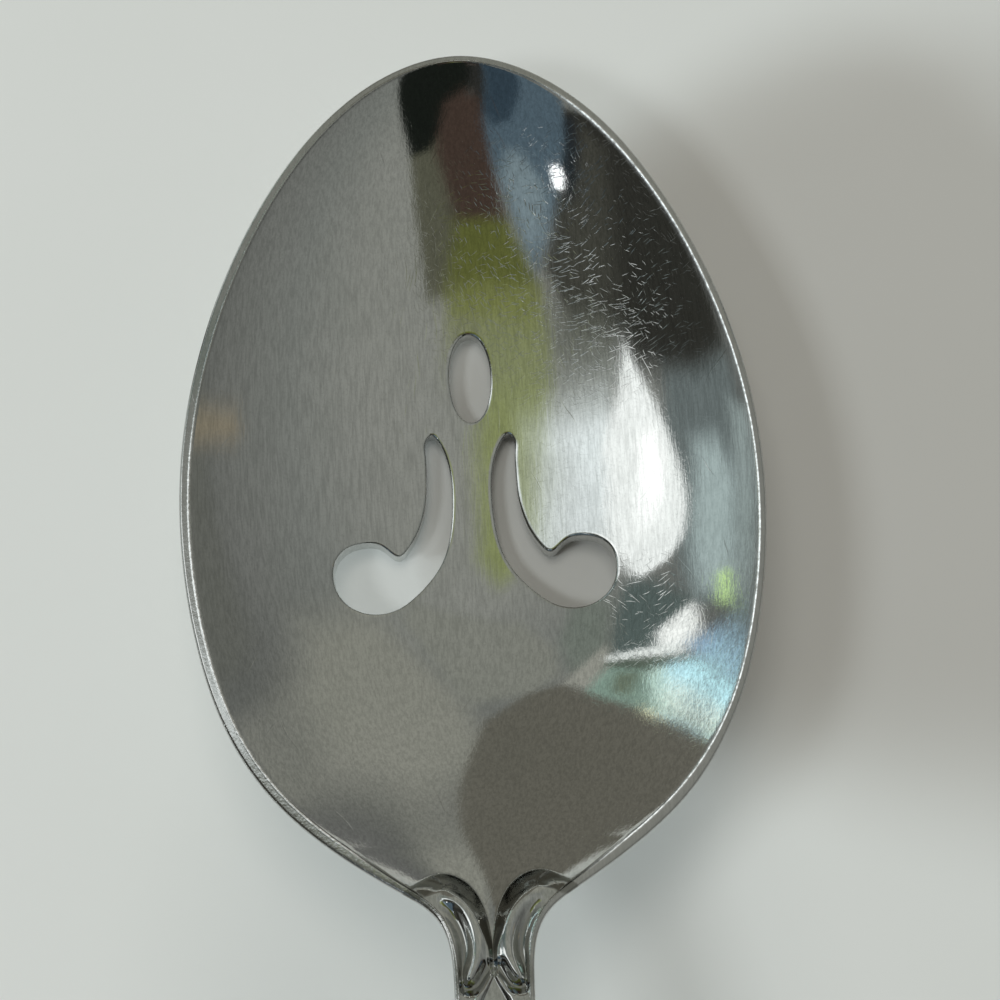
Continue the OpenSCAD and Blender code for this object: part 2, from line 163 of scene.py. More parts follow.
# The outline as one smooth closed curve by its own length t, from the tip of the bowl to the end of the handle.
FINE, WRAP, OUTLINE_SOFT = 0.05, 8, 0.7  # step in mm, rows mirrored past each end, softness in mm
knots = np.array([(w, s) for s, w in OUTLINE])
closed = np.vstack([knots[WRAP:0:-1] * (-1, 1), knots, knots[-2:-2 - WRAP:-1] * (-1, 1)])
chord = run_of(closed)
fine = np.arange(0, chord[-1], FINE)
curve = blurred(through(closed, chord, fine), bell(FINE, OUTLINE_SOFT, 60))
first = np.argmax((curve[:, 0] > 0) & (fine > chord[WRAP] - 1))
final = len(curve) - 1 - np.argmax((curve[::-1, 0] > 0) & (fine[::-1] < chord[-1 - WRAP] + 1))
curve = curve[first - 1:final + 2]
curve[0, 0] = curve[-1, 0] = 0
curve[:, 1] = (curve[:, 1] - curve[0, 1]) * OVERALL_L / (curve[-1, 1] - curve[0, 1])
along = run_of(curve)
T_END = along[-1]
turn = np.gradient(curve, along, axis=0)
turn /= np.linalg.norm(turn, axis=1)[:, None]
inward = np.c_[-turn[:, 1], turn[:, 0]]
inward[0], inward[-1] = (0, 1), (0, -1)


def inset(t, e):
    """Points a distance e inside the outline at the places t, as (x, s)."""
    n = read_at(t, along, inward)
    return read_at(t, along, curve) + n / np.linalg.norm(n, axis=1)[:, None] * np.reshape(e, (-1, 1))


border_curve = inset(along, border_at(curve[:, 1]))
half_out, half_in = linear(curve[:, ::-1]), linear(border_curve[:, ::-1])


def edge_distance(x, s):
    """Distance of the points from the outline. Only the outline within a window of their s is searched."""
    p, out, batch, window = np.c_[np.abs(x), s], np.empty(len(x)), 4000, 4
    for a in range(0, len(p), batch):
        q = p[a:a + batch]
        near = curve[(curve[:, 1] > q[:, 1].min() - window) & (curve[:, 1] < q[:, 1].max() + window)][::2]
        d = np.hypot(q[:, None, 0] - near[None, :, 0], q[:, None, 1] - near[None, :, 1])
        out[a:a + batch] = d.min(1)
    return out


# ---------------------------------------------------------------- relief of the neck and the handle, as (x, s)
def smooth_line(points, step=0.03):
    p = np.array(points, float)
    run = run_of(p)
    return through(p, run, np.arange(0, run[-1] + step, step))


RAMP = smooth_line([(6.0, 74.72), (4.9, 73.95), (4.2, 73.65), (3.5, 73.6), (2.75, 73.8), (1.9, 74.35), (1.2, 75.15),
                    (0.7, 76.15), (0.34, 77.3), (0.14, 78.6), (0.0, 79.6), (-0.1, 81.0), (-0.1, 82.2)])
RIDGE = smooth_line([(4.3, 75.75), (3.55, 75.8), (2.8, 76.15), (2.1, 76.8), (1.55, 77.75), (1.22, 78.9), (1.13, 80.0),
                     (1.27, 80.95), (1.55, 81.7), (1.82, 82.25)])
HOLLOW = smooth_line([(4.15, 76.3), (3.45, 76.85), (2.75, 77.9), (2.3, 79.2), (2.2, 80.4), (2.4, 81.4), (2.62, 82.3),
                      (2.5, 82.95), (1.95, 83.2), (1.35, 82.95), (0.8, 82.25), (0.4, 81.5)])
ARCH = smooth_line([(-0.05, 81.6), (0.25, 82.3), (0.75, 83.3), (1.17, 84.2), (1.5, 85.2), (1.72, 86.5), (1.8, 88.0),
                    (1.8, 90.0)])
ramp_w = linear([(73, 2.1), (75, 1.75), (77, 1.1), (79, 0.6), (80, 0.42)])  # width of the ramp's slope
RIDGE_H, HOLLOW_DEPTH, SCROLL_R = 0.3, 0.5, 0.85  # SCROLL_R: half width of the ridge and of the hollow
CROWN_H, CROWN_IN, CROWN_R = 0.1, -0.22, 0.3  # the raised edge of the arch
PANEL_DEPTH, PANEL_IN, PANEL_EDGE = 0.35, 1.2, 0.28
THREAD_DEPTH, THREAD_IN, THREAD_R = 0.2, 0.7, 0.26
BEAD_H, BEAD_IN, BEAD_R = 0.05, 1.05, 0.18  # the narrow bead between thread and panel
ARCH_S, THREAD_S, PANEL_S = 81.6, 84.2, 88  # where each of them begins


def line_distance(x, s, line):
    """Distance to a line, 1 or -1 for the side of it, and the share of the line's run."""
    p = np.c_[np.abs(x), s]
    d2 = ((p[:, None, :] - line[None]) ** 2).sum(2)
    i = d2.argmin(1)
    run = np.gradient(line, axis=0)[i]
    v = p - line[i]
    cross = run[:, 0] * v[:, 1] - run[:, 1] * v[:, 0]
    return np.sqrt(d2.min(1)), np.sign(cross), i / (len(line) - 1)


def top_z(x, s, e):
    """Height of the top inside the border. e is the distance from the outline."""
    x, s, e = np.ravel(x), np.ravel(s), np.ravel(e)
    w, rim = np.maximum(half_in(s), 1e-4), rim_at(s)
    h = np.clip(np.abs(x) / w, 0, 1.0)
    k = 0.75 + 0.43 * ease((s - 32) / 34)  # across, the dish is flatter in its middle towards the tip
    z = rim - dish_at(s) * (1 - k * h ** 2 - (1 - k) * h ** 4)
    near = (s > 71.5) & (s < 92)
    if near.any():
        xn, sn, en, zn, rn = np.abs(x[near]), s[near], e[near], z[near], rim[near]
        d, side, _ = line_distance(xn, sn, RAMP)
        foot = 1 + side * d / ramp_w(sn)
        up = 1 - np.where(foot < 0.1, np.maximum(foot + 0.1, 0) ** 2 / 0.4, np.minimum(foot, 1))
        up = np.where(sn > 82.2, 1, up)
        fade = ease((sn - 72.0) / 1.6)
        d, _, k = line_distance(xn, sn, RIDGE)
        lift = RIDGE_H * hump(d / SCROLL_R) * ease(k / 0.22 + 0.15)
        d, _, k = line_distance(xn, sn, HOLLOW)
        cut = HOLLOW_DEPTH * hump(d / SCROLL_R) * ease(k / 0.2) * (0.6 + 0.4 * ease(k / 0.6))
        edge = ease((en - EDGE_W) / 0.4)
        d, side, _ = line_distance(xn, sn, ARCH)
        inner = np.where(sn > ARCH_S, side, -1) * d
        crown = CROWN_H * hump(np.abs(inner - CROWN_IN) / CROWN_R) * ease((sn - 81.9) / 0.8)
        panel = PANEL_DEPTH * ease(inner / PANEL_EDGE) * (sn > ARCH_S) * (1 - ease((sn - PANEL_S) / 2.5))
        z[near] = zn + (rn - zn) * up * fade + (lift * fade - cut * fade) * edge + crown - panel
    tail = s > 83.5
    if tail.any():
        et, st = e[tail], s[tail]
        thread = THREAD_DEPTH * hump(np.abs(et - THREAD_IN) / THREAD_R) * ease((st - THREAD_S) / 2.0)
        panel = PANEL_DEPTH * ease((et - PANEL_IN) / PANEL_EDGE) * ease((st - PANEL_S) / 2.5)
        bead = BEAD_H * hump(np.abs(et - BEAD_IN) / BEAD_R) * ease((st - THREAD_S) / 2.0)
        z[tail] += bead - thread - panel
    return z


def under_z(x, s):
    """Height of the underside."""
    h, b = np.clip(np.abs(x) / np.maximum(half_out(s), 1e-4), 0, 1), boxy_at(s)
    low = np.maximum(under_at(s) - RIM_ROUND, 0)
    return rim_at(s) - RIM_ROUND - low * (1 - (1 - b) * h ** 2 - b * h ** (4 + 2 * b))


# ---------------------------------------------------------------- one skin of rings round the spoon
def spread(a, b, step):
    n = max(1, int(round((b - a) / step)))
    return a + (b - a) * np.arange(n) / n


def t_of(s):
    return float(np.interp(s, curve[:, 1], along))


# Stations along the outline: closest at the neck, and three or four extra ones at each end.
SEAM_S = (72.6, 89.6, 130.54)  # where the four regions meet
stops = [0.55, *(t_of(s) for s in (20, 53, 68, *SEAM_S, 196)), T_END - 0.55]
STEPS = (0.45, 0.45, 0.4, 0.22, 0.095, 0.6, 0.6, 0.4)
PLACES = np.concatenate([[0.0, 0.12, 0.3], *(spread(a, b, step) for a, b, step in zip(stops, stops[1:], STEPS)),
                         [T_END - 0.55, T_END - 0.3, T_END - 0.12, T_END]])
SEAMS = [int(np.argmin(np.abs(PLACES - t_of(s)))) for s in SEAM_S]
# Columns of half the top, of them those that follow the edge of the handle, and of half the underside.
HALF, MARKS, LOW = 64, 22, 40
FOLLOW, DENSE_X = 1.62, 4.6  # how far in they follow the edge; half width of the fine columns at the neck
NSTATION = len(PLACES)
outer = read_at(PLACES, along, curve)
so = outer[:, 1]
border = border_at(so)
ease_in = 0.22 * border
tail_share = ease((so - 84.0) / 7.0)


def top_points():
    """Right half of the top row at every station, from the middle out to the border, as x and s."""
    e_in = border + ease_in
    rim_side = inset(PLACES, e_in)
    k = np.arange(HALF + 1) / HALF
    flat = np.clip(DENSE_X / np.maximum(rim_side[:, 0], 1e-6), 0, 1)
    dense = 1 - (1 - flat) * ease((so - 64.0) / 8.0) * (1 - tail_share)
    even = dense[:, None] * k + (1 - dense[:, None]) * k ** 3
    px = rim_side[:, :1] * even
    ps = np.repeat(rim_side[:, 1:], HALF + 1, 1)
    marks = np.linspace(FOLLOW, 0, MARKS + 1)[None] + np.linspace(0, 1, MARKS + 1)[None] * e_in[:, None]
    mx, ms = np.empty_like(px), np.empty_like(ps)
    for j in range(MARKS + 1):
        mx[:, HALF - MARKS + j], ms[:, HALF - MARKS + j] = inset(PLACES, marks[:, j]).T
    inner_x, inner_s = mx[:, HALF - MARKS].copy(), ms[:, HALF - MARKS].copy()
    mx[:, :HALF - MARKS] = inner_x[:, None] * (np.arange(HALF - MARKS) / (HALF - MARKS))
    ms[:, :HALF - MARKS] = inner_s[:, None]
    mx = np.maximum(mx, 0)
    m = tail_share[:, None]
    return px + (mx - px) * m, ps + (ms - ps) * m


px, ps = top_points()
pe = edge_distance(px.ravel(), ps.ravel())
pz = top_z(px, ps, pe).reshape(px.shape)


def border_points():
    """Columns (x, s, z) of the border: its rounded inner corner with the bead, its flat and its outer corner."""
    rim = rim_at(so)
    tilt = (0.06 + 0.06 * (1 - ease((so - 64) / 10)) + 0.14 * np.exp(-((so - 27) / 4) ** 2)) * border / RIM_W

    def flat(e):
        return -tilt * (1 - e / border)

    cols, corner = [], 14
    a = np.c_[inset(PLACES, border + ease_in), pz[:, -1]]
    b = np.c_[inset(PLACES, border), rim]
    c = np.c_[inset(PLACES, border - ease_in), rim + flat(border - ease_in)]
    for k in np.arange(1, corner + 1) / corner:
        bead = 0.045 * border / RIM_W * np.exp(-(ease_in * (1 - 2 * k) / (0.11 * border)) ** 2)
        cols.append((1 - k) ** 2 * a + 2 * k * (1 - k) * b + k * k * c + bead[:, None] * (0, 0, 1))
    r = np.minimum(RIM_ROUND, 0.6 * border)
    base = rim + flat(r) - r
    for k in (0.0, 0.25, 0.5, 0.75, 1.0):
        q = k * math.pi / 2
        cols.append(np.c_[inset(PLACES, r * (1 - math.sin(q))), base + r * math.cos(q)])
    cols[-1][:, 2] = rim - RIM_ROUND
    return cols


v = np.sin(np.linspace(0, 1, LOW + 1) * math.pi / 2)
ux = outer[:, :1] * v[None, ::-1]
us = np.repeat(outer[:, 1:], LOW + 1, 1)
uz = np.maximum(under_z(ux, us), 0)
right = [np.stack([px, ps, pz], 2)] + [c[:, None, :] for c in border_points()] + [np.stack([ux, us, uz], 2)[:, 1:]]
right = np.concatenate(right, 1)
left = right[:, -2:0:-1] * (-1, 1, 1)
ring = np.concatenate([right, left], 1)
NRING = ring.shape[1]
verts = ring.reshape(-1, 3)
a = np.arange(NSTATION - 1)[:, None] * NRING + np.arange(NRING)[None]
b = np.arange(NSTATION - 1)[:, None] * NRING + (np.arange(NRING)[None] + 1) % NRING
quads = np.stack([a, a + NRING, b + NRING, b], 2)
station = np.repeat(np.arange(NSTATION - 1)[:, None], NRING, 1)
column = np.repeat(np.arange(NRING)[None], NSTATION - 1, 0)

# ---------------------------------------------------------------- the piercings
SLOT = np.array([(0.279, 0.002), (0.229, 0.037), (0.179, 0.122), (0.15, 0.232), (0.144, 0.354), (0.154, 0.476),
                 (0.183, 0.604), (0.242, 0.72), (0.325, 0.811), (0.433, 0.896), (0.567, 0.97), (0.717, 0.998),
                 (0.85, 0.979), (0.958, 0.909), (1, 0.799), (0.979, 0.707), (0.892, 0.634), (0.783, 0.607),
                 (0.6625, 0.618), (0.542, 0.676), (0.4625, 0.622), (0.4, 0.543), (0.354, 0.445), (0.329, 0.341),
                 (0.322, 0.232), (0.323, 0.11), (0.315, 0.03)]) * (SLOT_REACH, SLOT_L) + (0, SLOT_S)
angle = np.linspace(0, 2 * math.pi, 64, endpoint=False)
OVAL = np.c_[OVAL_W / 2 * np.sign(np.cos(angle)) * np.abs(np.cos(angle)) ** 0.94, OVAL_S + OVAL_L / 2 * np.sin(angle)]


def even_loop(points, step, soften):
    """A closed smooth loop through the points with even steps."""
    small, pad, reach = 0.01, 500, 400  # step in mm, and counts of it
    p = np.vstack([points[-3:], points, points[:4]])
    run = run_of(p)
    q = through(p, run, np.arange(run[3], run[3 + len(points)], small))
    q = blurred(np.vstack([q[-pad:], q, q[:pad]]), bell(small, soften, reach))[pad:-pad]
    q = np.vstack([q, q[:1]])
    run = run_of(q)
    n = int(run[-1] / step)
    return read_at(np.arange(n) * run[-1] / n, run, q)


def outward_of(loop):
    run = np.roll(loop, -1, 0) - np.roll(loop, 1, 0)
    run /= np.linalg.norm(run, axis=1)[:, None]
    n = np.c_[run[:, 1], -run[:, 0]]
    x, y = loop.T
    area = 0.5 * np.sum(x * np.roll(y, -1) - np.roll(x, -1) * y)
    return n if area > 0 else -n


def offset_loop(loop, d, turns=8):
    """The loop moved outward by d, in small moves."""
    if d <= 0:
        return loop
    for _ in range(turns):
        loop = loop + outward_of(loop) * d / turns
    return loop


def inside(points, loop):
    x, y = points.T
    hit = np.zeros(len(points), bool)
    for (x0, y0), (x1, y1) in zip(loop, np.roll(loop, -1, 0)):
        cross = (y0 > y) != (y1 > y)
        if cross.any():
            hit ^= cross & (x < (x1 - x0) * (y - y0) / (y1 - y0 + 1e-12) + x0)
    return hit


def top_plain(x, s):
    return top_z(x, s, np.full(np.shape(np.ravel(x)), 5.0))


# The two slots are punched a little to the left, and not quite level.
LOOPS = [even_loop(p, 0.16, 0.1) for p in (OVAL, SLOT + (-0.25, 0.3), SLOT * (-1, 1) + (-0.25, 0.15))]
ROLL_TOP, ROLL_LOW = 0.2, 0.12  # how far the edges of the piercings are rolled over, above and below
GAP, AROUND = 0.3, 0.16  # beyond the roll: the strip without points of the grid, and the second ring in it

# Quads inside the pierced patch of the top and of the underside make way for a mesh that follows the holes.
I0, I1 = (int(np.argmin(np.abs(so - s))) for s in (20.5, 52.5))  # the patch's first and last station
J_TOP, J_LOW, MIDDLE = 44, 20, right.shape[1] - 1  # its half widths in columns; the underside's middle column
top_cols = (column < J_TOP) | (column >= NRING - J_TOP)
low_cols = (column >= MIDDLE - J_LOW) & (column < MIDDLE + J_LOW)
keep = ~((station >= I0) & (station < I1) & (top_cols | low_cols))
skin = [verts]


def add(points):
    """Adds points to the skin and gives their numbers."""
    start = sum(len(part) for part in skin)
    skin.append(points)
    return np.arange(start, start + len(points))


def patch(cols, height, roll, sign):
    """Meshes one side of the pierced patch, sign 1 above and -1 below. Gives its faces and the ring of points at
    which the roll of each hole begins."""
    ids = np.arange(I0, I1 + 1)[:, None] * NRING + cols[None]
    grid = verts[ids]
    flat = grid[..., :2].reshape(-1, 2)
    free = np.ones(len(flat), bool)
    for loop in LOOPS:
        free &= ~inside(flat, offset_loop(loop, roll + GAP))
    on_edge = np.zeros(ids.shape, bool)
    on_edge[0], on_edge[-1], on_edge[:, 0], on_edge[:, -1] = True, True, True, True
    pick = np.flatnonzero(free | on_edge.ravel())
    number = -np.ones(len(flat), int)
    number[pick] = np.arange(len(pick))
    number = number.reshape(ids.shape)
    edges = []
    for line in (number[0], number[-1], number[:, 0], number[:, -1]):
        edges += list(zip(line[:-1], line[1:]))
    rings, start = [offset_loop(loop, roll) for loop in LOOPS], len(pick)
    for r in rings:
        k = start + np.arange(len(r))
        edges += list(zip(k, np.roll(k, -1)))
        start += len(r)
    around = [offset_loop(loop, roll + AROUND) for loop in LOOPS]
    ring_ids = [add(np.c_[r, height(r[:, 0], r[:, 1])]) for r in rings + around]
    known = np.concatenate([ids.ravel()[pick], *ring_ids])
    plan = [Vector(p) for p in np.vstack([flat[pick], *rings, *around])]
    out = delaunay_2d_cdt(plan, [(int(a), int(b)) for a, b in edges], [], 0, 1e-7)
    tri = np.array([f for f in out[2] if len(f) == 3])
    mid = np.array([tuple(p) for p in out[0]])[tri].mean(1)
    good = inside(mid, np.vstack([grid[0, :, :2], grid[1:, -1, :2], grid[-1, -2::-1, :2], grid[-2:0:-1, 0, :2]]))
    for r in rings:
        good &= ~inside(mid, r)
    tri = known[[origin[0] for origin in out[3]]][tri[good]]
    p = np.vstack(skin)[tri]
    flip = np.cross(p[:, 1] - p[:, 0], p[:, 2] - p[:, 0])[:, 2] * sign > 0
    tri[flip] = tri[flip][:, ::-1]
    return np.c_[tri, np.full(len(tri), -1)], ring_ids[:len(rings)]


def rolled(loop, roll, k):
    """A hole's ring at the share k of its rolled edge, and how far it has gone into the metal there."""
    q = k * math.pi / 2
    return offset_loop(loop, roll * (1 - math.sin(q))), roll * (1 - math.cos(q))


top_ids = np.concatenate([np.arange(NRING - J_TOP, NRING), np.arange(0, J_TOP + 1)])
top_faces, top_rings = patch(top_ids, top_plain, ROLL_TOP, 1)
low_faces, low_rings = patch(np.arange(MIDDLE - J_LOW, MIDDLE + J_LOW + 1), under_z, ROLL_LOW, -1)
hole_faces = []
for loop, top_ring, low_ring in zip(LOOPS, top_rings, low_rings):
    levels = [top_ring]
    for k in (0.25, 0.5, 0.75, 1.0):
        p, drop = rolled(loop, ROLL_TOP, k)
        levels.append(add(np.c_[p, top_plain(p[:, 0], p[:, 1]) - drop]))
    z_high = top_plain(loop[:, 0], loop[:, 1]) - ROLL_TOP
    z_low = under_z(loop[:, 0], loop[:, 1]) + ROLL_LOW
    for k in (0.33, 0.67):
        levels.append(add(np.c_[loop, z_high + (z_low - z_high) * k]))
    for k in (1.0, 0.5):
        p, drop = rolled(loop, ROLL_LOW, k)
        levels.append(add(np.c_[p, under_z(p[:, 0], p[:, 1]) + drop]))
    levels.append(low_ring)
    hole_faces += [np.stack([a, b, np.roll(b, -1), np.roll(a, -1)], 1) for a, b in zip(levels, levels[1:])]
patched = np.vstack([top_faces, low_faces, *hole_faces])
faces = np.vstack([quads[keep], patched])
tags = np.concatenate([station[keep], np.full(len(patched), I0)])


def merge(xyz, faces):
    """Joins points in one place; a face that has shrunk to a line becomes None."""
    key = np.round(xyz / 2e-8).astype(np.int64)
    _, idx, inv = np.unique(key, axis=0, return_index=True, return_inverse=True)
    out = []
    for row in np.where(faces >= 0, inv.ravel()[faces], -1):
        r = [i for i in row if i >= 0]
        r = [i for k, i in enumerate(r) if i != r[k - 1]]
        out.append(r if len(r) >= 3 and len(set(r)) == len(r) else None)
    return xyz[idx], out


# Into the frame: y = TIP_Y - s, and metres.
XYZ = np.vstack(skin)
XYZ, faces = merge(np.c_[XYZ[:, 0], TIP_Y - XYZ[:, 1], XYZ[:, 2]] * MM, faces)
tags = tags[[f is not None for f in faces]]
faces = [f for f in faces if f is not None]
mesh = bpy.data.meshes.new("spoon_whole")
mesh.from_pydata(XYZ.tolist(), [], faces)
mesh.update()
bm = bmesh.new()
bm.from_mesh(mesh)
bmesh.ops.recalc_face_normals(bm, faces=bm.faces)
if bm.calc_volume(signed=True) < 0:
    bmesh.ops.reverse_faces(bm, faces=bm.faces)
print("spoon:", len(XYZ), "points,", len(faces), "faces,", sum(len(e.link_faces) != 2 for e in bm.edges),
      "open edges,", round(bm.calc_volume(signed=True) * 1e9, 1), "mm3")
bm.to_mesh(mesh)
bm.free()


def read(rows, key, width=1, kind=float):
    values = np.empty(len(rows) * width, kind)
    rows.foreach_get(key, values)
    return values.reshape(-1, width) if width > 1 else values


# Normals of the whole skin, weighted by area, so that nothing shows where the four regions meet.
loop_v = read(mesh.loops, "vertex_index", kind=int)
poly_n, poly_a = read(mesh.polygons, "normal", 3), read(mesh.polygons, "area")
size = read(mesh.polygons, "loop_total", kind=int)
owner = np.repeat(np.arange(len(size)), size)
normals = np.zeros((len(mesh.vertices), 3))
np.add.at(normals, loop_v, poly_n[owner] * poly_a[owner][:, None])
normals /= np.maximum(np.linalg.norm(normals, axis=1), 1e-20)[:, None]
starts = np.concatenate([[0], np.cumsum(size)[:-1]])
all_co = read(mesh.vertices, "co", 3)
bpy.data.meshes.remove(mesh)

# The right side of the rim is a little narrower than the left.
mm = all_co / MM
x, s = mm[:, 0], TIP_Y - mm[:, 1]
NARROWER = 0.28
all_co[:, 0] -= (NARROWER * MM * (1 - ease(edge_distance(x, s) / 0.9)) * ease((x - 12) / 8)
                 * (1 - ease((s - 62) / 10)))

# Where the rim's flat is, its inner corner, and the parts of that corner that get a painted highlight: a white,
# barely metallic line.
high = (np.abs(mm[:, 2] - rim_at(s)) < 0.6) & (s < 84)
e = np.full(len(mm), 9.0)
e[high] = edge_distance(x[high], s[high])
flat_rim = 1 - ease((e - border_at(s)) / 0.2)
lip_line = np.exp(-((e - border_at(s)) / 0.1) ** 2)
glint = np.maximum(ease((x - 6) / 6), 0.9 * ease((-x - 8) / 4) * ease((s - 30) / 8))
# Painted shade: the ramps and the hollows of the scrolls are given a darker colour, standing in for the dark that
# they reflect.
deep = (s > 72) & (s < 83.8) & (np.abs(x) < 7) & (normals[:, 2] > 0.1)
d, side, _ = line_distance(x[deep], s[deep], RAMP)
foot = 1 + side * d / ramp_w(s[deep])
painted_recess_shade = np.zeros(len(mm))
painted_recess_shade[deep] = ease(foot / 0.25) * (1 - ease((foot - 0.85) / 0.3)) * (1 - ease((s[deep] - 80) / 2))
d, _, k = line_distance(x[deep], s[deep], HOLLOW)
painted_recess_shade[deep] = np.maximum(painted_recess_shade[deep], 0.75 * hump(d / 0.7) * ease(k / 0.15))

pieces = {}
ends = [0, *SEAMS, NSTATION]
for name, a, b in zip(("bowl", "neck", "stem", "handle"), ends, ends[1:]):
    polys = [loop_v[starts[k]:starts[k] + size[k]] for k in np.flatnonzero((tags >= a) & (tags < b))]
    used = np.unique(np.concatenate(polys))
    back = -np.ones(len(all_co), int)
    back[used] = np.arange(len(used))
    me = bpy.data.meshes.new("steel_" + name)
    me.from_pydata(all_co[used].tolist(), [], [back[p].tolist() for p in polys])
    me.update()
    me.polygons.foreach_set("use_smooth", np.ones(len(me.polygons), bool))
    lv = read(me.loops, "vertex_index", kind=int)
    me.normals_split_custom_set(normals[used][lv].tolist())
    uv = me.uv_layers.new(name="lengthwise")
    co = all_co[used][lv]
    uv.data.foreach_set("uv", np.c_[co[:, 0] * 4 + 0.5, co[:, 1] * 4 + 0.5].ravel())
    # The last two attributes carry painted light: a highlight line along the lip and shade in the neck's ramps and
    # hollows.
    for key, values in (("rim", flat_rim), ("lip", lip_line), ("glint", lip_line * glint), ("painted_recess_shade", painted_recess_shade)):
        me.attributes.new(key, "FLOAT", "POINT").data.foreach_set("value", values[used])
    pieces[name] = bpy.data.objects.new("steel_" + name, me)
    scene.collection.objects.link(pieces[name])

# ---------------------------------------------------------------- materials
class Nodes:
    """Short forms for building a node tree."""

    def __init__(self, tree):
        self.tree = tree
        tree.nodes.clear()

    def new(self, kind, **settings):
        node = self.tree.nodes.new("ShaderNode" + kind)
        for key, value in settings.items():
            setattr(node, key, value)
        return node

    def feed(self, socket, value):
        if isinstance(value, bpy.types.NodeSocket):
            self.tree.links.new(value, socket)
        elif value is not None:
            socket.default_value = value

    def math(self, operation, a, b=None, c=None):
        node = self.new("Math", operation=operation)
        for socket, value in zip(node.inputs, (a, b, c)):
            self.feed(socket, value)
        return node.outputs[0]

    def vector(self, operation, a, b=None, scale=None):
        node = self.new("VectorMath", operation=operation)
        self.feed(node.inputs[0], a)
        self.feed(node.inputs[1], b)
        if scale is not None:
            self.feed(node.inputs["Scale"], scale)
        return node.outputs["Value" if operation in ("DOT_PRODUCT", "LENGTH") else "Vector"]

    def split(self, v):
        node = self.new("SeparateXYZ")
        self.feed(node.inputs[0], v)
        return node.outputs

    def join(self, x, y, z=0.0):
        node = self.new("CombineXYZ")
        for socket, value in zip(node.inputs, (x, y, z)):
            self.feed(socket, value)
        return node.outputs[0]

    def remap(self, value, a, b, c=0.0, d=1.0, smooth=False):
        node = self.new("MapRange", interpolation_type="SMOOTHSTEP" if smooth else "LINEAR")
        for socket, v in zip(node.inputs, (value, a, b, c, d)):
            self.feed(socket, v)
        return node.outputs[0]

    def mix(self, share, a, b):
        node = self.new("Mix", data_type="RGBA")
        self.feed(node.inputs["Factor"], share)
        for socket, value in zip([s for s in node.inputs if s.type == "RGBA"], (a, b)):
            self.feed(socket, value if isinstance(value, bpy.types.NodeSocket) else (*value, 1))
        return next(s for s in node.outputs if s.type == "RGBA")

    def noise(self, v, scale, detail=2.0, rough=0.5, out="Fac"):
        node = self.new("TexNoise")
        self.feed(node.inputs["Vector"], v)
        for key, value in (("Scale", scale), ("Detail", detail), ("Roughness", rough)):
            node.inputs[key].default_value = value
        return node.outputs[out]


# ---------------------------------------------------------------- the room that the steel reflects
world = bpy.data.worlds.new("room")
scene.world = world
world.use_nodes = True
w = Nodes(world.node_tree)
ray = w.vector("NORMALIZE", w.new("TexCoord").outputs["Generated"])
rx, ry, rz = w.split(ray)
zenith = w.math("MULTIPLY", w.math("ARCCOSINE", rz), 2 / math.pi)
level = w.math("MAXIMUM", w.vector("LENGTH", w.join(rx, ry)), 1e-4)
flat = w.vector("SCALE", w.join(rx, ry), scale=w.math("DIVIDE", zenith, level))
chart = w.vector("ADD", flat, (0, 0, 1))


def sky(corners, soft):
    """Share of a convex patch of the room. Its corners are (azimuth, angle from the zenith) in degrees."""
    p = [(z / 90 * math.cos(math.radians(a)), z / 90 * math.sin(math.radians(a))) for a, z in corners]
    area = sum(a[0] * b[1] - b[0] * a[1] for a, b in zip(p, p[1:] + p[:1]))
    near = None
    for a, b in zip(p, p[1:] + p[:1]):
        n = (b[1] - a[1], a[0] - b[0])
        k = (-1 if area > 0 else 1) / math.hypot(*n)
        n = (n[0] * k, n[1] * k)
        d = w.vector("DOT_PRODUCT", chart, (n[0], n[1], -a[0] * n[0] - a[1] * n[1]))
        near = d if near is None else w.math("MINIMUM", near, d)
    return w.remap(near, -soft, soft, smooth=True)


